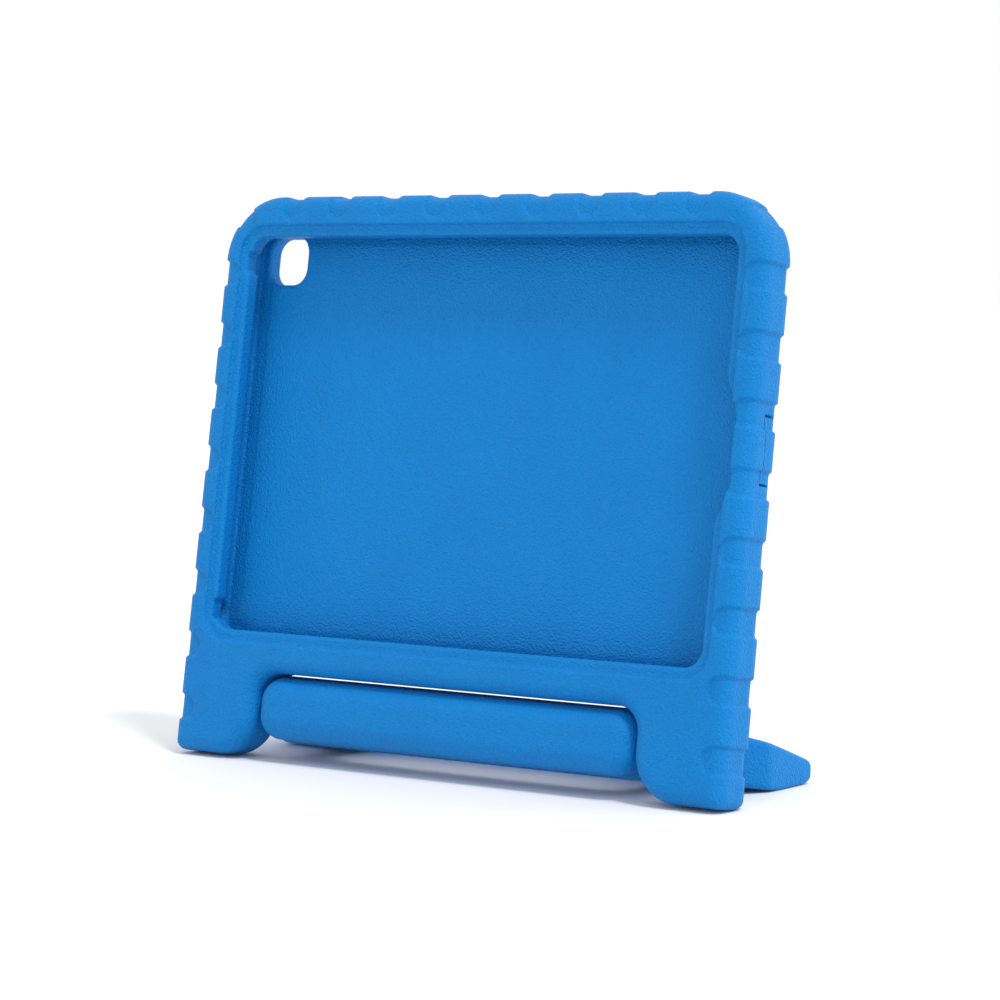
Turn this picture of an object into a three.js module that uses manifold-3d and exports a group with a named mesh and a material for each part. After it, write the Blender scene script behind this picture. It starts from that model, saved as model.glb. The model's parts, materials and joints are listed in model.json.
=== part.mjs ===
// A child's moulded-foam case for a 10.2-inch tablet, standing on its two feet and its folded-back handle.
//
// Millimetres, +Z up. The object's origin is on the table, under the middle of its footprint.
// Most shapes are drawn in the case frame: X to the right, Y from front to back, Z up along the case,
// with its origin at the middle of the tablet's glass. The whole case frame then leans back by LEAN.

import * as THREE from 'three';
import { mergeVertices } from 'three/addons/utils/BufferGeometryUtils.js';
import Module from 'manifold-3d';

const wasm = await Module();
wasm.setup();

// ---------------------------------------------------------------- driving dimensions

const LEAN = THREE.MathUtils.degToRad(9.2);
const GAP = 0.3; // clearance between pieces that touch

const tablet = { width: 250.6, height: 174.1, thickness: 7.5 };

const shell = {
  halfWidthTop: 134.5,
  halfWidthFoot: 135.5, // the sides flare a little towards the feet
  top: 98.6,
  footBottom: -134,
  front: -8.5,
  back: 15.5,
  topCorner: 27,
  footInnerCorner: 19,
  frontRounding: 6,
  backRounding: 10,
};

const notch = { halfWidth: 94, top: -99, corner: 10 }; // the gap between the feet, under the bottom rail

const pocket = { clearance: 0.6, depth: 7.8, corner: 10, bedHeight: 0.4 };
const windowCut = { left: -120.5, right: 120.5, bottom: -82.5, top: 81.6, corner: 8 };
const step = { left: -124.7, right: 124.7, bottom: -87, top: 86, corner: 11.5, floor: -6.5 };

const homeRecess = { windowHalf: 26, deepHalf: 16.5, depthX: 126.5, floor: 0.2 };
const windowRelief = { depth: 1.7, length: 8.5, centres: [70.7, -74.5] };

const scallop = { width: 10.5, reach: 10, depth: 1.1, cornerDepth: 0.8 };
const topScallops = { pitch: 25, each: 4 }; // on each side of the middle one
const sideScallops = { first: 66, pitch: 26, count: 8 };

const cameraHole = { x: -111.8, z: 73.5, size: 20, corner: 7 };
const headphoneHole = { z: -74.5, radius: 3.75 };

const flap = { bottom: -11.6, top: 13.6, front: 2, back: 9.6, inside: 131.8, slit: 0.8 };

// The bar's edges are round enough for it to turn under the rail without touching it.
const bar = { halfLength: 93.3, bottom: -125.8, top: -100.3, section: 9, endCorner: 10 };
const axis = { y: (shell.front + shell.back) / 2, z: (bar.bottom + bar.top) / 2 }; // of the handle's hinge

// The grip behind the bar, drawn level, from the hinge axis backwards (y) and from the table up (height).
const arm = { start: 2, end: 48, halfWidth: 92.8, edge: 7, shoulder: 32, shoulderFillet: 6 };
const grip = { halfWidth: 121.5, end: 76, endCorner: 4.5, edge: 2.2, underFrom: 50, underTo: 70 };
const shoulderCut = { x: 114.5, y: 43.5 }; // where the cut across each shoulder's front corner starts and ends
const ridge = { startHeight: 33, bend: 54, bendHeight: 16.9, endHeight: 8.4 }; // the top of arms and grip
const fingerSlot = { halfWidth: 70, from: 15.5, to: 43, corner: 11 };

const pin = { radius: 4.1, rib: 4.8, inBar: 13.5, length: 25 };
const socket = { radius: 6.5, flange: 8.2, flangeDepth: 1.2, depth: 10.8, bottom: 1.2, wall: 1.8 };

// ---------------------------------------------------------------- levels that follow

const axisOnWorld = levelPoint(axis.y, axis.z);
const footHeel = levelPoint(shell.back - shell.backRounding, shell.footBottom + shell.backRounding);
const table = footHeel.z - shell.backRounding; // the rounded heels of the feet stand on it
const toeCentre = levelPoint(shell.front + shell.frontRounding, shell.footBottom + shell.frontRounding);
const footprintFront = toeCentre.y - shell.frontRounding;
const footprintBack = axisOnWorld.y + grip.end;
const axisHeight = axisOnWorld.z - table;

// A point of the case frame as it stands, leaning back.
function levelPoint(y, z) {
  return { y: y * Math.cos(LEAN) + z * Math.sin(LEAN), z: z * Math.cos(LEAN) - y * Math.sin(LEAN) };
}

// ---------------------------------------------------------------- shape helpers

// A closed outline through corners [x, y, radius]; a radius of 0 leaves the corner sharp.
function roundedOutline(corners, segments = 6) {
  const points = corners.flatMap(([x, y, radius], i) => {
    const corner = new THREE.Vector2(x, y);
    if (radius === 0) return [corner];
    const [xBefore, yBefore] = corners.at(i - 1);
    const [xAfter, yAfter] = corners[(i + 1) % corners.length];
    const toBefore = new THREE.Vector2(xBefore, yBefore).sub(corner).normalize();
    const toAfter = new THREE.Vector2(xAfter, yAfter).sub(corner).normalize();
    const halfAngle = Math.acos(toBefore.dot(toAfter)) / 2;
    const bisector = toBefore.clone().add(toAfter).normalize();
    const centre = corner.clone().addScaledVector(bisector, radius / Math.sin(halfAngle));
    const start = corner.clone().addScaledVector(toBefore, radius / Math.tan(halfAngle)).sub(centre);
    const turn = (Math.PI - 2 * halfAngle) * Math.sign(toAfter.cross(toBefore));
    return Array.from({ length: segments + 1 }, (_, k) =>
      start.clone().rotateAround(new THREE.Vector2(), (turn * k) / segments).add(centre));
  });
  return new THREE.Shape(points);
}

function roundedRectangle({ left, right, bottom, top, corner }, grow = 0) {
  const radius = corner + grow;
  return roundedOutline([
    [left - grow, bottom - grow, radius],
    [right + grow, bottom - grow, radius],
    [right + grow, top + grow, radius],
    [left - grow, top + grow, radius],
  ]);
}

// A closed geometry as a solid that can be joined and cut.
function solid(geometry) {
  geometry.deleteAttribute('normal');
  geometry.deleteAttribute('uv');
  const merged = mergeVertices(geometry, 1e-4);
  return new wasm.Manifold(new wasm.Mesh({
    numProp: 3,
    vertProperties: new Float32Array(merged.attributes.position.array),
    triVerts: new Uint32Array(merged.index.array),
  }));
}

// An outline extruded along local z, with both end edges rounded and the whole section inset.
function extrusion(outline, length, rounding, inset) {
  return new THREE.ExtrudeGeometry(outline, {
    depth: length - 2 * rounding,
    bevelEnabled: rounding > 0 || inset > 0,
    bevelThickness: rounding,
    bevelSize: rounding,
    bevelOffset: -rounding - inset,
    bevelSegments: 4,
  });
}

// A slab between two Y planes with a front-view outline in X and Z.
function slab(outline, front, back, rounding = 0, inset = 0) {
  const geometry = extrusion(outline, back - front, rounding, inset);
  geometry.rotateX(Math.PI / 2);
  geometry.translate(0, back - rounding, 0);
  return solid(geometry);
}

// A bar along X with a side-view outline in Y and Z.
function beam(outline, halfLength, rounding) {
  const geometry = extrusion(outline, 2 * halfLength, rounding, 0);
  geometry.translate(0, 0, rounding - halfLength);
  const [toX, toY, toZ] = [[1, 0, 0], [0, 1, 0], [0, 0, 1]].map((v) => new THREE.Vector3(...v));
  geometry.applyMatrix4(new THREE.Matrix4().makeBasis(toY, toZ, toX));
  return solid(geometry);
}

// A turned piece on the hinge axis: profile [x, radius] runs outwards from x = 0; side is 1 or -1.
function turned(profile, x, side, segments = 20) {
  const points = profile.map(([along, radius]) => new THREE.Vector2(radius, along));
  const geometry = new THREE.LatheGeometry(points, segments);
  geometry.rotateZ(-Math.PI / 2);
  if (side < 0) geometry.rotateZ(Math.PI);
  geometry.translate(side * x, axis.y, axis.z);
  return solid(geometry);
}

function box(xMin, xMax, yMin, yMax, zMin, zMax) {
  const geometry = new THREE.BoxGeometry(xMax - xMin, yMax - yMin, zMax - zMin);
  geometry.translate((xMin + xMax) / 2, (yMin + yMax) / 2, (zMin + zMax) / 2);
  return solid(geometry);
}

function joined(solids) {
  return solids.reduce((all, next) => all.add(next));
}

// ---------------------------------------------------------------- foam shell

function shellOutline() {
  const { halfWidthTop, halfWidthFoot, top, footBottom, topCorner, footInnerCorner } = shell;
  const right = [
    [notch.halfWidth, notch.top, notch.corner],
    [notch.halfWidth, footBottom, footInnerCorner],
    [halfWidthFoot, footBottom, 0],
    [halfWidthTop, top, topCorner],
  ];
  const left = right.map(([x, z, radius]) => [-x, z, radius]).reverse();
  return roundedOutline([...right, ...left], 8);
}

// The moulded block, its front and back edges rounded differently.
function shellBlock(inset = 0) {
  const outline = shellOutline();
  const beyond = 40;
  const { front, back, frontRounding, backRounding } = shell;
  const frontRounded = slab(outline, front + inset, back + beyond, frontRounding, inset);
  const backRounded = slab(outline, front - beyond, back - inset, backRounding, inset);
  return frontRounded.intersect(backRounded);
}

// One scallop seen from the front: a round-ended slot from just outside the edge inwards.
function scallopOutline(x, z, inward) {
  const outside = -5;
  const radius = scallop.width / 2;
  const arc = Array.from({ length: 9 }, (_, k) => {
    const angle = -Math.PI / 2 + (Math.PI * k) / 8;
    return [scallop.reach - radius + radius * Math.cos(angle), radius * Math.sin(angle)];
  });
  const points = [[outside, -radius], ...arc, [outside, radius]].map(([u, v]) =>
    new THREE.Vector2(u, v).rotateAround(new THREE.Vector2(), inward).add(new THREE.Vector2(x, z)));
  return new THREE.Shape(points);
}

function sideHalfWidth(z) {
  const fraction = (shell.top - z) / (shell.top - shell.footBottom);
  return THREE.MathUtils.lerp(shell.halfWidthTop, shell.halfWidthFoot, fraction);
}

function edgeScallops() {
  const places = [];
  for (let i = -topScallops.each; i <= topScallops.each; i++) {
    places.push([i * topScallops.pitch, shell.top, -Math.PI / 2]);
  }
  for (let i = 0; i < sideScallops.count; i++) {
    const z = sideScallops.first - i * sideScallops.pitch;
    places.push([sideHalfWidth(z), z, Math.PI], [-sideHalfWidth(z), z, 0]);
  }
  return places;
}

function cornerScallops() {
  const diagonal = shell.topCorner * (1 - Math.SQRT1_2);
  const x = shell.halfWidthTop - diagonal;
  const z = shell.top - diagonal;
  return [[x, z, (-3 * Math.PI) / 4], [-x, z, -Math.PI / 4]];
}

// Scallops are shallow: they cut the block down to a copy of itself that is inset by their depth.
function scallops(places, depth) {
  const slots = joined(places.map((place) =>
    slab(scallopOutline(...place), shell.front - 1, shell.back + 1)));
  return slots.subtract(shellBlock(depth));
}

function windowOpening() {
  const opening = slab(roundedRectangle(windowCut), shell.front - 1, 1);
  const rim = slab(roundedRectangle(step), shell.front - 1, step.floor);
  const homeOutline = roundedOutline([
    [windowCut.right - 2, homeRecess.windowHalf, 0],
    [windowCut.right - 2, -homeRecess.windowHalf, 0],
    [windowCut.right, -homeRecess.windowHalf, 0],
    [homeRecess.depthX, -homeRecess.deepHalf, 3],
    [homeRecess.depthX, homeRecess.deepHalf, 3],
    [windowCut.right, homeRecess.windowHalf, 0],
  ]);
  const home = slab(homeOutline, shell.front - 1, homeRecess.floor);
  const reliefs = windowRelief.centres.map((z) => slab(roundedRectangle({
    left: windowCut.left - windowRelief.depth,
    right: windowCut.left + 2,
    bottom: z - windowRelief.length / 2,
    top: z + windowRelief.length / 2,
    corner: 1,
  }), shell.front - 1, 1));
  return joined([opening, rim, home, ...reliefs]);
}

// The pocket that holds the tablet; its floor has a slightly raised bed inside the window's outline.
function tabletPocket() {
  const { clearance, depth, corner, bedHeight } = pocket;
  const outline = roundedRectangle({
    left: -tablet.width / 2 - clearance,
    right: tablet.width / 2 + clearance,
    bottom: -tablet.height / 2 - clearance,
    top: tablet.height / 2 + clearance,
    corner,
  });
  const cavity = slab(outline, 0, depth);
  const gutter = slab(outline, depth - 1, depth + bedHeight);
  const bed = slab(roundedRectangle(windowCut, -1), depth - 2, depth + 2);
  return cavity.add(gutter.subtract(bed));
}

function cameraOpening() {
  const half = cameraHole.size / 2;
  return slab(roundedRectangle({
    left: cameraHole.x - half,
    right: cameraHole.x + half,
    bottom: cameraHole.z - half,
    top: cameraHole.z + half,
    corner: cameraHole.corner,
  }), pocket.depth - 1, shell.back + 1);
}

function headphoneOpening() {
  const geometry = new THREE.CylinderGeometry(headphoneHole.radius, headphoneHole.radius, 14, 20);
  geometry.rotateZ(Math.PI / 2);
  geometry.translate(-shell.halfWidthTop + 3, tablet.thickness / 2, headphoneHole.z);
  return solid(geometry);
}

function flapOpening() {
  return box(tablet.width / 2, shell.halfWidthFoot + 5,
    flap.front - GAP, flap.back + flap.slit, flap.bottom - flap.slit, flap.top + flap.slit);
}

// The hole in a foot: a mouth for the pin, then the room for the socket that is moulded in behind it.
function socketHole(side) {
  const { wall, flange, flangeDepth, radius, depth } = socket;
  const mouth = pin.radius + GAP;
  const flangeEnd = wall + flangeDepth + 2 * GAP;
  const end = wall + depth + 2 * GAP;
  const profile = [
    [-5, 0],
    [-5, mouth],
    [wall, mouth],
    [wall, flange + GAP],
    [flangeEnd, flange + GAP],
    [flangeEnd, radius + GAP],
    [end, radius + GAP],
    [end, 0],
  ];
  return turned(profile, notch.halfWidth, side);
}

function foamShell() {
  return shellBlock()
    .subtract(scallops(edgeScallops(), scallop.depth))
    .subtract(scallops(cornerScallops(), scallop.cornerDepth))
    .subtract(windowOpening())
    .subtract(tabletPocket())
    .subtract(cameraOpening())
    .subtract(headphoneOpening());
}

function portFlap(foam) {
  return foam.intersect(box(flap.inside, shell.halfWidthFoot + 5,
    flap.front, flap.back, flap.bottom, flap.top));
}

// ---------------------------------------------------------------- handle

function hingeBar() {
  const outline = roundedRectangle({
    left: -bar.halfLength,
    right: bar.halfLength,
    bottom: bar.bottom,
    top: bar.top,
    corner: bar.endCorner,
  });
  return slab(outline, shell.front, shell.back, bar.section);
}

// A level piece cut from an outline seen from above, in X and Y.
function upright(outline) {
  const height = 60;
  const geometry = extrusion(outline, height, 0, 0);
  geometry.translate(0, 0, -height / 3);
  return solid(geometry);
}

// Height of the straight top of the arms, which slopes down from the bar to the bend in the grip.
function ridgeHeight(y) {
  return THREE.MathUtils.mapLinear(y, arm.start, ridge.bend, ridge.startHeight, ridge.bendHeight);
}

// Height of the underside, which comes down from the bar to where the grip stands on the table.
function underHeight(y) {
  return THREE.MathUtils.mapLinear(y, arm.start, grip.underFrom, 8.1, 0);
}

// The two arms are the ends of one thick wedge whose edges are as round as the bar's.
function arms() {
  const side = roundedOutline([
    [arm.start, underHeight(arm.start), 0],
    [arm.end, underHeight(arm.end), 0],
    [arm.end, ridgeHeight(arm.end), 0],
    [arm.start, ridgeHeight(arm.start), 0],
  ], 4);
  return beam(side, arm.halfWidth, arm.edge);
}

// The grip is wider than the arms: seen from above it has shoulders behind the feet.
function grippingBar() {
  const start = arm.shoulder - 8;
  const side = roundedOutline([
    [start, underHeight(start), 0],
    [grip.underFrom, 0, 8],
    [grip.underTo, 0, 8],
    [grip.end, 1.8, 0],
    [grip.end, ridge.endHeight - 1, 0],
    [grip.end - 2, ridge.endHeight + 0.7, 0],
    [ridge.bend, ridge.bendHeight, 50],
    [start, ridgeHeight(start), 0],
  ], 4);
  const plan = roundedOutline([
    [arm.halfWidth - 4, start, 0],
    [arm.halfWidth, arm.shoulder, arm.shoulderFillet],
    [shoulderCut.x, arm.shoulder, 4],
    [grip.halfWidth, shoulderCut.y, 5],
    [grip.halfWidth, grip.end, grip.endCorner],
    [-grip.halfWidth, grip.end, grip.endCorner],
    [-grip.halfWidth, shoulderCut.y, 5],
    [-shoulderCut.x, arm.shoulder, 4],
    [-arm.halfWidth, arm.shoulder, arm.shoulderFillet],
    [-arm.halfWidth + 4, start, 0],
  ], 4);
  return beam(side, grip.halfWidth, grip.edge).intersect(upright(plan));
}

function gripLoop() {
  const slot = roundedRectangle({
    left: -fingerSlot.halfWidth,
    right: fingerSlot.halfWidth,
    bottom: fingerSlot.from,
    top: fingerSlot.to,
    corner: fingerSlot.corner,
  });
  return arms().add(grippingBar()).subtract(upright(slot));
}

// The loop is drawn level, so it is turned back by the lean to lie in the case frame.
function loopInCaseFrame() {
  const degrees = THREE.MathUtils.radToDeg(LEAN);
  return gripLoop().translate([0, 0, -axisHeight]).rotate([degrees, 0, 0]).translate([0, axis.y, axis.z]);
}

function pinHole(side) {
  const depth = pin.inBar + GAP;
  const radius = pin.rib + GAP;
  return turned([[0, 0], [0, radius], [depth + 5, radius], [depth + 5, 0]], bar.halfLength - depth, side);
}

function carryHandle() {
  return hingeBar().add(loopInCaseFrame()).subtract(pinHole(1)).subtract(pinHole(-1));
}

// ---------------------------------------------------------------- hinge pieces

// A pin with a ribbed root for the bar and a smooth journal for the socket.
function pivotPin(side) {
  const ribs = [1, 4, 7, 10].flatMap((x) => [
    [x, pin.radius - 0.3],
    [x + 0.5, pin.rib],
    [x + 2.5, pin.radius - 0.3],
  ]);
  const profile = [
    [0, 0],
    [0, pin.radius - 0.9],
    ...ribs,
    [pin.inBar, pin.radius],
    [pin.length - 1, pin.radius],
    [pin.length, pin.radius - 1],
    [pin.length, 0],
  ];
  return turned(profile, bar.halfLength - pin.inBar, side);
}

// A cup with a flange, held in the foam behind the foot's inner wall.
function pivotSocket(side) {
  const bore = pin.radius + GAP;
  const profile = [
    [socket.depth, 0],
    [socket.depth, socket.radius - 0.8],
    [socket.depth - 0.8, socket.radius],
    [socket.flangeDepth, socket.radius],
    [socket.flangeDepth, socket.flange],
    [0, socket.flange],
    [0, bore],
    [socket.depth - socket.bottom, bore],
    [socket.depth - socket.bottom, 0],
  ].reverse();
  return turned(profile, notch.halfWidth + socket.wall + GAP, side);
}

// ---------------------------------------------------------------- scene graph

const blueFoam = new THREE.MeshStandardMaterial({ color: 0x1c84d8, roughness: 0.62, metalness: 0 });
const whitePlastic = new THREE.MeshStandardMaterial({ color: 0xdcdedf, roughness: 0.4, metalness: 0 });
const greyPlastic = new THREE.MeshStandardMaterial({ color: 0x555b62, roughness: 0.45, metalness: 0 });

function mesh(name, body, material) {
  const { vertProperties, triVerts } = body.getMesh();
  const geometry = new THREE.BufferGeometry();
  geometry.setAttribute('position', new THREE.BufferAttribute(vertProperties, 3));
  geometry.setIndex(new THREE.BufferAttribute(triVerts, 1));
  const part = new THREE.Mesh(geometry, material);
  part.name = name;
  return part;
}

const moulding = foamShell();
const leaning = new THREE.Group();
leaning.add(
  mesh('foam_shell', moulding.subtract(flapOpening()).subtract(socketHole(1)).subtract(socketHole(-1)), blueFoam),
  mesh('charging_port_flap', portFlap(moulding), blueFoam),
  mesh('carry_handle', carryHandle(), blueFoam),
);
for (const [name, side] of [['left', -1], ['right', 1]]) {
  leaning.add(
    mesh(`pivot_pin_${name}`, pivotPin(side), whitePlastic),
    mesh(`pivot_socket_${name}`, pivotSocket(side), greyPlastic),
  );
}
leaning.rotation.x = -LEAN;

const tabletCase = new THREE.Group();
tabletCase.add(leaning);
leaning.position.set(0, -(footprintFront + footprintBack) / 2, -table);

export default tabletCase;
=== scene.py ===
"""Looks for a child's foam tablet case: moulded blue foam with a leather grain, rounded and scalloped.

The foam pieces are drawn as distance functions in the case frame, in millimetres: x to the right, y from
front to back and z up along the leaning case, with its origin at the middle of the tablet's glass. Each is
meshed, then moved into the CAD frame in metres.
"""

import json
import math

import bpy
import numpy as np
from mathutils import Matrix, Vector


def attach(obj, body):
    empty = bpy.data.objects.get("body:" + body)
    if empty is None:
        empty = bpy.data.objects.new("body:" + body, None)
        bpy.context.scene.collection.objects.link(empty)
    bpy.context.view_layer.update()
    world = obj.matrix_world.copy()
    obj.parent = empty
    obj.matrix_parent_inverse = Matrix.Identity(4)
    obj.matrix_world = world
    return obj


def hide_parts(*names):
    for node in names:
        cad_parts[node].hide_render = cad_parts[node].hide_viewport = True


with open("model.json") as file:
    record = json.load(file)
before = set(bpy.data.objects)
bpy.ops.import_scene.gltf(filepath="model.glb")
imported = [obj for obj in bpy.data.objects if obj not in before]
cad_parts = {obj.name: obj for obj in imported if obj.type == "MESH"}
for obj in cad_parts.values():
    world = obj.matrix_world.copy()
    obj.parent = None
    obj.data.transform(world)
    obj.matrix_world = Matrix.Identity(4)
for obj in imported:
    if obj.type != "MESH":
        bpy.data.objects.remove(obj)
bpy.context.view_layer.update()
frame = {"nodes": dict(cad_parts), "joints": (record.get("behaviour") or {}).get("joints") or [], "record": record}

# ---------------------------------------------------------------- sizes, in millimetres in the case frame

METRES = 0.001

FRONT, BACK = -8.5, 15.5
TOP, FOOT = 98.6, -134.0
HALF_WIDTH_TOP, HALF_WIDTH_FOOT = 134.5, 135.5
TOP_CORNER, FOOT_CORNER, FOOT_INNER = 27.0, 4.0, 19.0
FRONT_ROUND, BACK_ROUND = 6.0, 10.0

NOTCH_HALF, NOTCH_TOP, NOTCH_CORNER = 94.0, -99.0, 10.0

WINDOW = {"left": -120.5, "right": 120.5, "bottom": -82.5, "top": 81.6, "corner": 8.0}
STEP = {"left": -124.7, "right": 124.7, "bottom": -87.0, "top": 86.0, "corner": 11.5}
STEP_FLOOR = -6.5
POCKET = {"left": -125.9, "right": 125.9, "bottom": -87.65, "top": 87.65, "corner": 10.0}
POCKET_DEPTH, GUTTER, BED_INSET, BED_EDGE = 7.8, 0.4, 1.5, 1.0
WINDOW_DEPTH, PAST_WINDOW = 1.0, 6.0

HOME_HALF, HOME_DEEP_HALF, HOME_DEPTH_X, HOME_CORNER, HOME_FILLET = 26.0, 16.5, 126.5, 3.0, 2.0
RELIEF_CENTRES, RELIEF_LENGTH, RELIEF_DEPTH, RELIEF_CORNER, RELIEF_FILLET = (70.7, -74.5), 8.5, 1.7, 1.2, 0.8

SCALLOP_RADIUS, SCALLOP_REACH, SCALLOP_DEPTH, SCALLOP_EDGE = 5.25, 10.0, 1.1, 0.9
CORNER_SCALLOP_DEPTH, SCALLOP_RUN_OUT = 0.8, 15.0
TOP_PITCH, TOP_EACH_SIDE = 25.0, 4
SIDE_FIRST, SIDE_PITCH, SIDE_COUNT = 66.0, 26.0, 8

VOLUME_PAD, POWER_PAD = (-97.0, -63.0), (60.0, 74.0)
PAD_FRONT, PAD_BACK, PAD_CORNER, PAD_HEIGHT, PAD_EDGE = 0.0, 7.0, 3.4, 0.7, 1.4
PAD_OUTSIDE_POCKET = 3.0

CAMERA_HOLE = {"left": -121.8, "right": -101.8, "bottom": 63.5, "top": 83.5, "corner": 7.0}
HEADPHONE_Y, HEADPHONE_Z, HEADPHONE_RADIUS = 3.75, -74.5, 3.75

FLAP_BOTTOM, FLAP_TOP, FLAP_FRONT, FLAP_BACK = -11.6, 13.6, 2.0, 9.6
FLAP_INSIDE, FLAP_SLIT, FLAP_HINGE_GAP = 131.8, 0.8, 0.1

BAR = {"left": -93.3, "right": 93.3, "bottom": -125.8, "top": -100.3, "corner": 10.0}
BAR_ROUND = 9.0
AXIS_Y, AXIS_Z = (FRONT + BACK) / 2, (BAR["bottom"] + BAR["top"]) / 2

ARM_START, ARM_END, ARM_HALF, ARM_ROUND = 2.0, 48.0, 92.8, 7.0
ARM_TOP, GRIP_TOP = ((2.0, 33.0), (54.0, 16.9)), ((54.0, 16.9), (76.0, 8.4))
ARM_UNDER, GRIP_UNDER = ((2.0, 8.1), (50.0, 0.0)), ((70.0, 0.0), (76.0, 1.8))
SHOULDER, SHOULDER_FILLET, SHOULDER_CUT = 32.0, 6.0, ((114.5, 32.0), (121.5, 43.5))
GRIP_HALF, GRIP_END, GRIP_CORNER, GRIP_ROUND = 121.5, 76.0, 4.0, 2.2
SLOT = {"left": -70.0, "right": 70.0, "bottom": 15.5, "top": 43.0, "corner": 11.0}

PIN_HOLE_RADIUS, PIN_HOLE_DEPTH = 5.1, 13.8
MOUTH_RADIUS, SOCKET_WALL = 4.4, 1.8
FLANGE_RADIUS, FLANGE_END = 8.5, 3.6
SOCKET_RADIUS, SOCKET_END = 6.8, 13.2

# ---------------------------------------------------------------- the case frame inside the CAD frame

MOUNTS = {mount["name"]: mount for mount in frame["record"]["mounts"]}
BACKWARDS = np.array(MOUNTS["back_face"]["axis"], float)
RIGHT = np.array([1.0, 0.0, 0.0])
UPWARDS = np.cross(RIGHT, BACKWARDS)
ORIGIN = np.array(MOUNTS["back_face"]["pos_m"], float) - BACKWARDS * BACK * METRES
LEAN = math.atan2(-BACKWARDS[2], BACKWARDS[1])
HINGE_HEIGHT = next(j["pos_m"][2] for j in frame["joints"] if j["name"] == "handle_fold") / METRES


def into_cad_frame(points):
    """Points of the case frame, in millimetres, as points of the CAD frame, in metres."""
    return ORIGIN + (points * METRES) @ np.stack([RIGHT, BACKWARDS, UPWARDS])


# ---------------------------------------------------------------- distance functions

def meet(a, b, radius=0.0):
    """What is inside both shapes, with the edge between them rounded."""
    corner = np.hypot(np.maximum(a + radius, 0), np.maximum(b + radius, 0))
    return np.minimum(np.maximum(a, b), -radius) + corner


def crease(a, b, width):
    """What is inside both shapes, with the shallow bend between two faces eased over a width of distance."""
    near = np.maximum(width - np.abs(a - b), 0) / width
    return np.maximum(a, b) + width / 4 * near ** 2


def join(a, b, radius=0.0):
    """What is inside either shape, with a fillet between them."""
    return -meet(-a, -b, radius)


def cut(a, b, radius=0.0):
    """The first shape less the second, with the mouth of the cut rounded."""
    return meet(a, -b, radius)


def rectangle(u, v, left, right, bottom, top, corner):
    across = np.abs(u - (left + right) / 2) - (right - left) / 2
    along = np.abs(v - (bottom + top) / 2) - (top - bottom) / 2
    return meet(across, along, corner)


def slope(u, v, start, end):
    """Distance to the line from start to end: negative on its right-hand side."""
    du, dv = end[0] - start[0], end[1] - start[1]
    return ((v - start[1]) * du - (u - start[0]) * dv) / math.hypot(du, dv)


def capsule(u, v, start, end, radius):
    du, dv = end[0] - start[0], end[1] - start[1]
    share = np.clip(((u - start[0]) * du + (v - start[1]) * dv) / (du * du + dv * dv), 0, 1)
    return np.hypot(u - start[0] - share * du, v - start[1] - share * dv) - radius


def ease(share):
    share = np.clip(share, 0, 1)
    return share * share * (3 - 2 * share)


# ---------------------------------------------------------------- the foam shell

def side_half_width(z):
    return HALF_WIDTH_TOP + (HALF_WIDTH_FOOT - HALF_WIDTH_TOP) * (TOP - z) / (TOP - FOOT)


def case_outline(x, z):
    outer = meet(np.abs(x) - side_half_width(z), z - TOP, TOP_CORNER)
    outer = meet(outer, FOOT - z, FOOT_CORNER)
    notch = meet(np.abs(x) - NOTCH_HALF, z - NOTCH_TOP, NOTCH_CORNER)
    return cut(outer, notch, FOOT_INNER)


def scallop_depth(x, z):
    """How deep the scallops round the rim are at a place: 0 between them, easing over their soft edges."""
    x = np.abs(x)
    outside = SCALLOP_RUN_OUT
    inner = SCALLOP_REACH - SCALLOP_RADIUS
    slots = [((i * TOP_PITCH, TOP + outside), (i * TOP_PITCH, TOP - inner)) for i in range(TOP_EACH_SIDE + 1)]
    for i in range(SIDE_COUNT):
        level = SIDE_FIRST - i * SIDE_PITCH
        edge = side_half_width(level)
        slots.append(((edge + outside, level), (edge - inner, level)))
    nearest = capsule(x, z, *slots[0], SCALLOP_RADIUS)
    for start, end in slots[1:]:
        nearest = np.minimum(nearest, capsule(x, z, start, end, SCALLOP_RADIUS))
    depth = SCALLOP_DEPTH * ease(0.5 - nearest / SCALLOP_EDGE)
    corner = TOP_CORNER * (1 - math.sqrt(0.5))
    edge_x, edge_z = HALF_WIDTH_TOP - corner, TOP - corner
    diagonal = capsule(x, z, (edge_x + outside, edge_z + outside),
                       (edge_x - inner * math.sqrt(0.5), edge_z - inner * math.sqrt(0.5)), SCALLOP_RADIUS)
    return depth + CORNER_SCALLOP_DEPTH * ease(0.5 - diagonal / SCALLOP_EDGE)


def block(x, y, z):
    """The moulded block with its scallops, before anything is cut out of it."""
    body = meet(case_outline(x, z), FRONT - y, FRONT_ROUND)
    body = meet(body, y - BACK, BACK_ROUND)
    return body + scallop_depth(x, z)


def window_outline(x, z):
    opening = rectangle(x, z, **WINDOW)
    home = slope(np.abs(z), x, (HOME_HALF, WINDOW["right"]), (HOME_DEEP_HALF, HOME_DEPTH_X))
    home = meet(-home, x - HOME_DEPTH_X, HOME_CORNER)
    home = meet(home, WINDOW["right"] - PAST_WINDOW - x)
    opening = join(opening, home, HOME_FILLET)
    for centre in RELIEF_CENTRES:
        relief = rectangle(x, z, WINDOW["left"] - RELIEF_DEPTH, WINDOW["left"] + PAST_WINDOW,
                           centre - RELIEF_LENGTH / 2, centre + RELIEF_LENGTH / 2, RELIEF_CORNER)
        opening = join(opening, relief, RELIEF_FILLET)
    return opening


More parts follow.
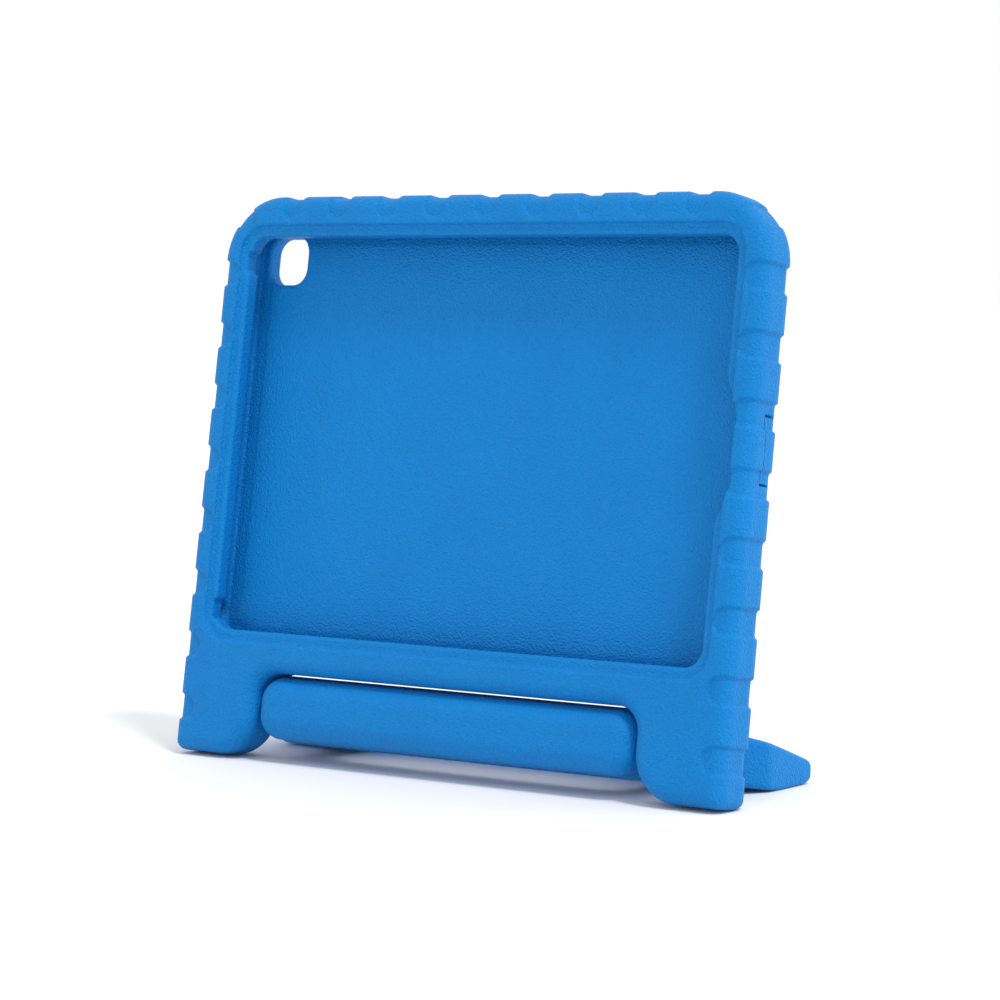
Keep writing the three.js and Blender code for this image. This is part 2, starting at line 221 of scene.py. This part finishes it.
def button_pads(x, y, z):
    """1 on the two raised pads over the tablet's buttons, on the top and the left edge."""
    far = 10.0
    volume = rectangle(x, y, *VOLUME_PAD, PAD_FRONT, PAD_BACK, PAD_CORNER)
    power = rectangle(z, y, *POWER_PAD, PAD_FRONT, PAD_BACK, PAD_CORNER)
    volume = np.where(z > POCKET["top"] + PAD_OUTSIDE_POCKET, volume, far)
    power = np.where(x < POCKET["left"] - PAD_OUTSIDE_POCKET, power, far)
    return ease(0.5 - np.minimum(volume, power) / PAD_EDGE)


def foam_shell(x, y, z):
    shell = block(x, y, z) - PAD_HEIGHT * button_pads(x, y, z)
    step = meet(rectangle(x, z, **STEP), y - STEP_FLOOR, 1.0)
    window = np.maximum(window_outline(x, z), y - WINDOW_DEPTH)
    bed = ease((window_outline(x, z) + BED_INSET) / BED_EDGE)
    pocket = meet(rectangle(x, z, **POCKET), y - POCKET_DEPTH - GUTTER * bed, 0.8)
    pocket = meet(pocket, -y, 0.3)
    shell = cut(shell, step, 0.9)
    shell = cut(shell, window, 1.2)
    shell = cut(shell, pocket, 0.5)
    camera = np.maximum(rectangle(x, z, **CAMERA_HOLE), POCKET_DEPTH - 2.0 - y)
    shell = cut(shell, camera, 1.5)
    headphone = np.hypot(y - HEADPHONE_Y, z - HEADPHONE_Z) - HEADPHONE_RADIUS
    shell = cut(shell, np.maximum(headphone, x - WINDOW["left"]), 1.2)
    port = rectangle(y, z, FLAP_FRONT - FLAP_HINGE_GAP, FLAP_BACK + FLAP_SLIT,
                     FLAP_BOTTOM - FLAP_SLIT, FLAP_TOP + FLAP_SLIT, 0.6)
    shell = cut(shell, np.maximum(port, WINDOW["right"] - x), 0.3)
    from_axis = np.hypot(y - AXIS_Y, z - AXIS_Z)
    into_foot = np.abs(x) - NOTCH_HALF
    behind_wall = SOCKET_WALL - into_foot
    mouth = np.maximum(from_axis - MOUTH_RADIUS, into_foot - SOCKET_END)
    flange = np.maximum(from_axis - FLANGE_RADIUS, np.maximum(behind_wall, into_foot - FLANGE_END))
    socket = np.maximum(from_axis - SOCKET_RADIUS, np.maximum(behind_wall, into_foot - SOCKET_END))
    return cut(shell, np.minimum(mouth, np.minimum(flange, socket)), 0.3)


def port_flap(x, y, z):
    flap = meet(rectangle(y, z, FLAP_FRONT, FLAP_BACK, FLAP_BOTTOM, FLAP_TOP, 0.6), FLAP_INSIDE - x, 0.4)
    return meet(block(x, y, z), flap, 0.3)


# ---------------------------------------------------------------- the handle

def hinge_bar(x, y, z):
    bar = meet(rectangle(x, z, **BAR), FRONT - y, BAR_ROUND)
    return meet(bar, y - BACK, BAR_ROUND)


def grip_loop(x, y, z):
    """The arms and the grip. They are drawn level: back from the hinge axis, and up from the table."""
    back = (y - AXIS_Y) * math.cos(LEAN) + (z - AXIS_Z) * math.sin(LEAN)
    height = (z - AXIS_Z) * math.cos(LEAN) - (y - AXIS_Y) * math.sin(LEAN) + HINGE_HEIGHT
    roof = crease(slope(back, height, *ARM_TOP), slope(back, height, *GRIP_TOP), 2.0)
    under = crease(-height, -slope(back, height, *ARM_UNDER), 0.6)
    under = crease(under, -slope(back, height, *GRIP_UNDER), 0.6)
    side = meet(meet(roof, under, 1.0), ARM_START - back)
    arms = meet(np.abs(x) - ARM_HALF, back - ARM_END)
    grip = rectangle(x, back, -GRIP_HALF, GRIP_HALF, SHOULDER, GRIP_END, GRIP_CORNER)
    grip = crease(grip, -slope(np.abs(x), back, *SHOULDER_CUT), 1.2)
    edge_round = GRIP_ROUND + (ARM_ROUND - GRIP_ROUND) * ease((SHOULDER - back) / 10.0)
    loop = meet(side, join(arms, grip, SHOULDER_FILLET), edge_round)
    return cut(loop, rectangle(x, back, **SLOT), 3.0)


def carry_handle(x, y, z):
    handle = join(hinge_bar(x, y, z), grip_loop(x, y, z), 4.0)
    from_axis = np.hypot(y - AXIS_Y, z - AXIS_Z)
    hole = np.maximum(from_axis - PIN_HOLE_RADIUS, BAR["right"] - PIN_HOLE_DEPTH - np.abs(x))
    return cut(handle, hole, 0.3)


# ---------------------------------------------------------------- meshing a distance function

def surface_net(shape, low, high, step):
    """Points and quads of the surface where shape is zero, one point to each grid cell it passes through."""
    axes = [np.arange(a, b + step, step) for a, b in zip(low, high)]
    values = shape(*np.meshgrid(*axes, indexing="ij", sparse=True))
    counts = np.array(values.shape)
    unit = np.eye(3, dtype=int)
    cells, crossings, quads = [], [], []
    for axis in range(3):
        u, w = unit[(axis + 1) % 3], unit[(axis + 2) % 3]
        near = np.take(values, range(counts[axis] - 1), axis)
        far = np.take(values, range(1, counts[axis]), axis)
        edge = np.argwhere((near < 0) != (far < 0))
        a, b = near[tuple(edge.T)], far[tuple(edge.T)]
        crossing = edge.astype(float)
        crossing[:, axis] += a / (a - b)
        around = [np.ravel_multi_index((edge - offset).T, counts) for offset in (u + w, w, 0 * u, u)]
        quad = np.stack(around, 1)
        quad[a > 0] = quad[a > 0][:, ::-1]
        quads.append(quad)
        cells.extend(around)
        crossings.extend([crossing] * 4)
    ids, index = np.unique(np.concatenate(cells), return_inverse=True)
    crossings = np.concatenate(crossings)
    totals = np.stack([np.bincount(index, crossings[:, k]) for k in range(3)], 1)
    points = totals / np.bincount(index)[:, None]
    return np.array(low) + points * step, np.searchsorted(ids, np.concatenate(quads))


def gradient(shape, points, step=0.05):
    slopes = []
    for axis in range(3):
        offset = np.eye(3)[axis] * step
        ahead, behind = points + offset, points - offset
        slopes.append((shape(*ahead.T) - shape(*behind.T)) / (2 * step))
    return np.stack(slopes, 1)


def settle(shape, points, reach, rounds=2):
    """Moves points onto the surface, each by no more than reach."""
    for _ in range(rounds):
        away = gradient(shape, points)
        distance = shape(*points.T) / np.maximum((away ** 2).sum(1), 0.05)
        points = points - away * np.clip(distance, -reach, reach)[:, None]
    return points


def foam_piece(name, shape, low, high, step, triangles):
    """A mesh object of the shape, thinned to a number of triangles, in the CAD frame."""
    points, quads = surface_net(shape, low, high, step)
    points = settle(shape, points, step / 2)
    mesh = bpy.data.meshes.new(name)
    mesh.from_pydata(points.tolist(), [], quads.tolist())
    piece = bpy.data.objects.new(name, mesh)
    bpy.context.scene.collection.objects.link(piece)
    if 2 * len(quads) > triangles:
        thin = piece.modifiers.new("thin", "DECIMATE")
        thin.ratio = triangles / (2 * len(quads))
        evaluated = piece.evaluated_get(bpy.context.evaluated_depsgraph_get())
        thinned = bpy.data.meshes.new_from_object(evaluated)
        piece.modifiers.clear()
        piece.data = thinned
        thinned.name = name
    mesh = piece.data
    points = np.zeros(len(mesh.vertices) * 3)
    mesh.vertices.foreach_get("co", points)
    points = settle(shape, points.reshape(-1, 3), step / 4, 1)
    mesh.vertices.foreach_set("co", into_cad_frame(points).ravel())
    mesh.polygons.foreach_set("use_smooth", [True] * len(mesh.polygons))
    mesh.update()
    return piece


# ---------------------------------------------------------------- materials

class Nodes:
    """A short way to write a node tree."""

    def __init__(self, name):
        self.material = bpy.data.materials.new(name)
        self.material.use_nodes = True
        self.tree = self.material.node_tree
        self.shader = self.tree.nodes["Principled BSDF"]

    def add(self, kind, inputs=None, **settings):
        node = self.tree.nodes.new(kind)
        for key, value in settings.items():
            setattr(node, key, value)
        for key, value in (inputs or {}).items():
            if isinstance(value, bpy.types.NodeSocket):
                self.tree.links.new(value, node.inputs[key])
            else:
                node.inputs[key].default_value = value
        return node

    def link(self, output, socket):
        self.tree.links.new(output, self.shader.inputs[socket])

    def between(self, value, low, high, to_low, to_high):
        return self.add("ShaderNodeMapRange", {
            "Value": value, "From Min": low, "From Max": high, "To Min": to_low, "To Max": to_high,
        }).outputs["Result"]


def linear(red, green, blue):
    """A display colour, 0 to 255, as the linear colour that shaders use."""
    return [*((channel / 255) ** 2.2 for channel in (red, green, blue)), 1.0]


def foam_material():
    nodes = Nodes("moulded_foam")
    place = nodes.add("ShaderNodeTexCoord").outputs["Object"]
    mottle = nodes.add("ShaderNodeTexNoise", {"Vector": place, "Scale": 28.0, "Detail": 3.0}).outputs["Fac"]
    pores = nodes.add("ShaderNodeTexNoise", {"Vector": place, "Scale": 2600.0, "Detail": 2.0}).outputs["Fac"]
    warp = nodes.add("ShaderNodeTexNoise", {"Vector": place, "Scale": 900.0, "Detail": 1.0}).outputs["Color"]
    warped = nodes.add("ShaderNodeVectorMath", {0: warp, 1: (0.0006, 0.0006, 0.0006)}, operation="MULTIPLY")
    bent = nodes.add("ShaderNodeVectorMath", {0: place, 1: warped.outputs["Vector"]}, operation="ADD")
    grain = nodes.add("ShaderNodeTexVoronoi", {"Vector": bent.outputs["Vector"], "Scale": 1350.0},
                      feature="SMOOTH_F1").outputs["Distance"]
    pebbles = nodes.between(grain, 0.15, 0.75, 1.0, 0.0)
    edges = nodes.add("ShaderNodeNewGeometry").outputs["Pointiness"]
    # Pointy edges: one mask both for real rubbed wear, which polishes the edges, and for a painted sheen on them.
    wear_and_sheen = nodes.between(edges, 0.52, 0.60, 0.0, 1.0)

    tint = nodes.add("ShaderNodeMixRGB", {
        "Fac": nodes.between(mottle, 0.35, 0.65, 0.0, 1.0),
        "Color1": linear(1, 120, 192), "Color2": linear(2, 124, 197),
    }).outputs["Color"]
    # The hollows between the pebbles of the grain are painted darker: painted shade in the grain's hollows.
    grain_with_painted_shade = nodes.add("ShaderNodeMixRGB", {
        "Fac": nodes.between(pebbles, 0.0, 1.0, 0.35, 0.0),
        "Color1": tint, "Color2": linear(1, 100, 170),
    }).outputs["Color"]
    # Edges painted lighter and paler: partly rubbed wear, partly a painted highlight for the sheen on rounded
    # edges.
    rubbed_and_sheen = nodes.add("ShaderNodeMixRGB", {
        "Fac": nodes.between(wear_and_sheen, 0.0, 1.0, 0.0, 0.30),
        "Color1": grain_with_painted_shade, "Color2": linear(14, 140, 215),
    }).outputs["Color"]
    nodes.link(rubbed_and_sheen, "Base Color")

    matt = nodes.between(pores, 0.3, 0.7, 0.46, 0.60)
    polish = nodes.add("ShaderNodeMath", {0: matt, 1: nodes.between(wear_and_sheen, 0.0, 1.0, 0.0, 0.10)},
                       operation="SUBTRACT").outputs["Value"]
    nodes.link(polish, "Roughness")

    fine = nodes.add("ShaderNodeBump", {"Height": pores, "Strength": 0.25, "Distance": 0.00008})
    leather = nodes.add("ShaderNodeBump", {
        "Height": pebbles, "Strength": 0.9, "Distance": 0.00034, "Normal": fine.outputs["Normal"],
    })
    nodes.link(leather.outputs["Normal"], "Normal")
    nodes.shader.inputs["Specular IOR Level"].default_value = 0.16
    nodes.shader.inputs["Sheen Weight"].default_value = 0.02
    nodes.shader.inputs["Sheen Roughness"].default_value = 0.5
    return nodes.material


def plastic_material(name, colour, rough):
    nodes = Nodes(name)
    place = nodes.add("ShaderNodeTexCoord").outputs["Object"]
    cloud = nodes.add("ShaderNodeTexNoise", {"Vector": place, "Scale": 240.0, "Detail": 4.0}).outputs["Fac"]
    grit = nodes.add("ShaderNodeTexNoise", {"Vector": place, "Scale": 5200.0}).outputs["Fac"]
    darker = [channel * 0.86 for channel in colour[:3]] + [1.0]
    mixed = nodes.add("ShaderNodeMixRGB", {"Fac": cloud, "Color1": darker, "Color2": colour})
    nodes.link(mixed.outputs["Color"], "Base Color")
    nodes.link(nodes.between(grit, 0.3, 0.7, rough - 0.07, rough + 0.07), "Roughness")
    bump = nodes.add("ShaderNodeBump", {"Height": grit, "Strength": 0.2, "Distance": 0.00004})
    nodes.link(bump.outputs["Normal"], "Normal")
    return nodes.material


def wear(piece, material):
    piece.data.materials.clear()
    piece.data.materials.append(material)


# ---------------------------------------------------------------- pieces

foam = foam_material()
EDGE = 2.0

shell = foam_piece(
    "moulded_shell", foam_shell,
    (-HALF_WIDTH_FOOT - EDGE, FRONT - EDGE, FOOT - EDGE),
    (HALF_WIDTH_FOOT + EDGE, BACK + EDGE, TOP + EDGE),
    step=0.9, triangles=190_000)
wear(shell, foam)
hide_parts("foam_shell")
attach(shell, "case")

handle = foam_piece(
    "moulded_handle", carry_handle,
    (-GRIP_HALF - EDGE, FRONT - EDGE, AXIS_Z - HINGE_HEIGHT - EDGE),
    (GRIP_HALF + EDGE, AXIS_Y + GRIP_END + 3 * EDGE, BAR["top"] + EDGE),
    step=0.9, triangles=110_000)
wear(handle, foam)
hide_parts("carry_handle")
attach(handle, "handle")

flap = foam_piece(
    "moulded_port_flap", port_flap,
    (FLAP_INSIDE - 1.0, FLAP_FRONT - 1.0, FLAP_BOTTOM - 1.0),
    (HALF_WIDTH_FOOT + 1.0, FLAP_BACK + 1.0, FLAP_TOP + 1.0),
    step=0.3, triangles=20_000)
wear(flap, foam)
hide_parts("charging_port_flap")
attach(flap, "flap")

white_plastic = plastic_material("white_nylon", linear(222, 224, 226), 0.38)
grey_plastic = plastic_material("grey_plastic", linear(86, 92, 99), 0.46)
for side in ("left", "right"):
    wear(frame["nodes"][f"pivot_pin_{side}"], white_plastic)
    wear(frame["nodes"][f"pivot_socket_{side}"], grey_plastic)

# ---------------------------------------------------------------- floor, light and camera


def studio_floor():
    size = 12.0
    mesh = bpy.data.meshes.new("studio_floor")
    corners = [(-size, -size, 0), (size, -size, 0), (size, size, 0), (-size, size, 0)]
    mesh.from_pydata(corners, [], [(0, 1, 2, 3)])
    floor = bpy.data.objects.new("studio_floor", mesh)
    bpy.context.scene.collection.objects.link(floor)
    nodes = Nodes("white_paper")
    nodes.shader.inputs["Base Color"].default_value = (0.86, 0.86, 0.86, 1.0)
    nodes.shader.inputs["Roughness"].default_value = 0.9
    wear(floor, nodes.material)


def soft_box(name, position, aim, width, height, power):
    light = bpy.data.lights.new(name, "AREA")
    light.shape = "RECTANGLE"
    light.size, light.size_y = width, height
    light.energy = power
    lamp = bpy.data.objects.new(name, light)
    lamp.location = position
    lamp.rotation_mode = "QUATERNION"
    lamp.rotation_quaternion = (Vector(aim) - Vector(position)).to_track_quat("-Z", "Y")
    bpy.context.scene.collection.objects.link(lamp)


def soft_sun(direction, spread, strength):
    """An even light from a wide patch of sky, so that the floor is as white far off as it is close by."""
    light = bpy.data.lights.new("soft_sun", "SUN")
    light.energy = strength
    light.angle = math.radians(spread)
    lamp = bpy.data.objects.new("soft_sun", light)
    lamp.rotation_mode = "QUATERNION"
    lamp.rotation_quaternion = Vector(direction).to_track_quat("-Z", "Y")
    bpy.context.scene.collection.objects.link(lamp)


def white_surroundings(strength):
    world = bpy.data.worlds.new("studio")
    world.use_nodes = True
    background = world.node_tree.nodes["Background"]
    background.inputs["Color"].default_value = (1.0, 1.0, 1.0, 1.0)
    background.inputs["Strength"].default_value = strength
    bpy.context.scene.world = world


def photo_camera():
    """The photograph's viewing angle: from the right, a little above the case's middle."""
    azimuth, elevation = math.radians(36.575), math.radians(4.022)
    distance = 1.3496
    aim = Vector((0.0095, ORIGIN[1] + 0.0050, ORIGIN[2] - 0.0233))
    back = Vector((math.sin(azimuth) * math.cos(elevation), -math.cos(azimuth) * math.cos(elevation),
                   math.sin(elevation)))
    data = bpy.data.cameras.new("photo_camera")
    data.sensor_width = 36.0
    data.lens = 122.4
    camera = bpy.data.objects.new("photo_camera", data)
    camera.location = aim + back * distance
    camera.rotation_mode = "QUATERNION"
    camera.rotation_quaternion = (-back).to_track_quat("-Z", "Y")
    bpy.context.scene.collection.objects.link(camera)
    bpy.context.scene.camera = camera


bpy.context.scene.view_settings.view_transform = "Standard"
studio_floor()
white_surroundings(1.0)
middle = (0.0, 0.0, 0.12)
soft_sun((-0.50, 0.16, -0.85), 10.0, 1.5)
soft_box("right_light", (1.6, 0.9, 0.7), middle, 0.8, 0.8, 5.0)
photo_camera()
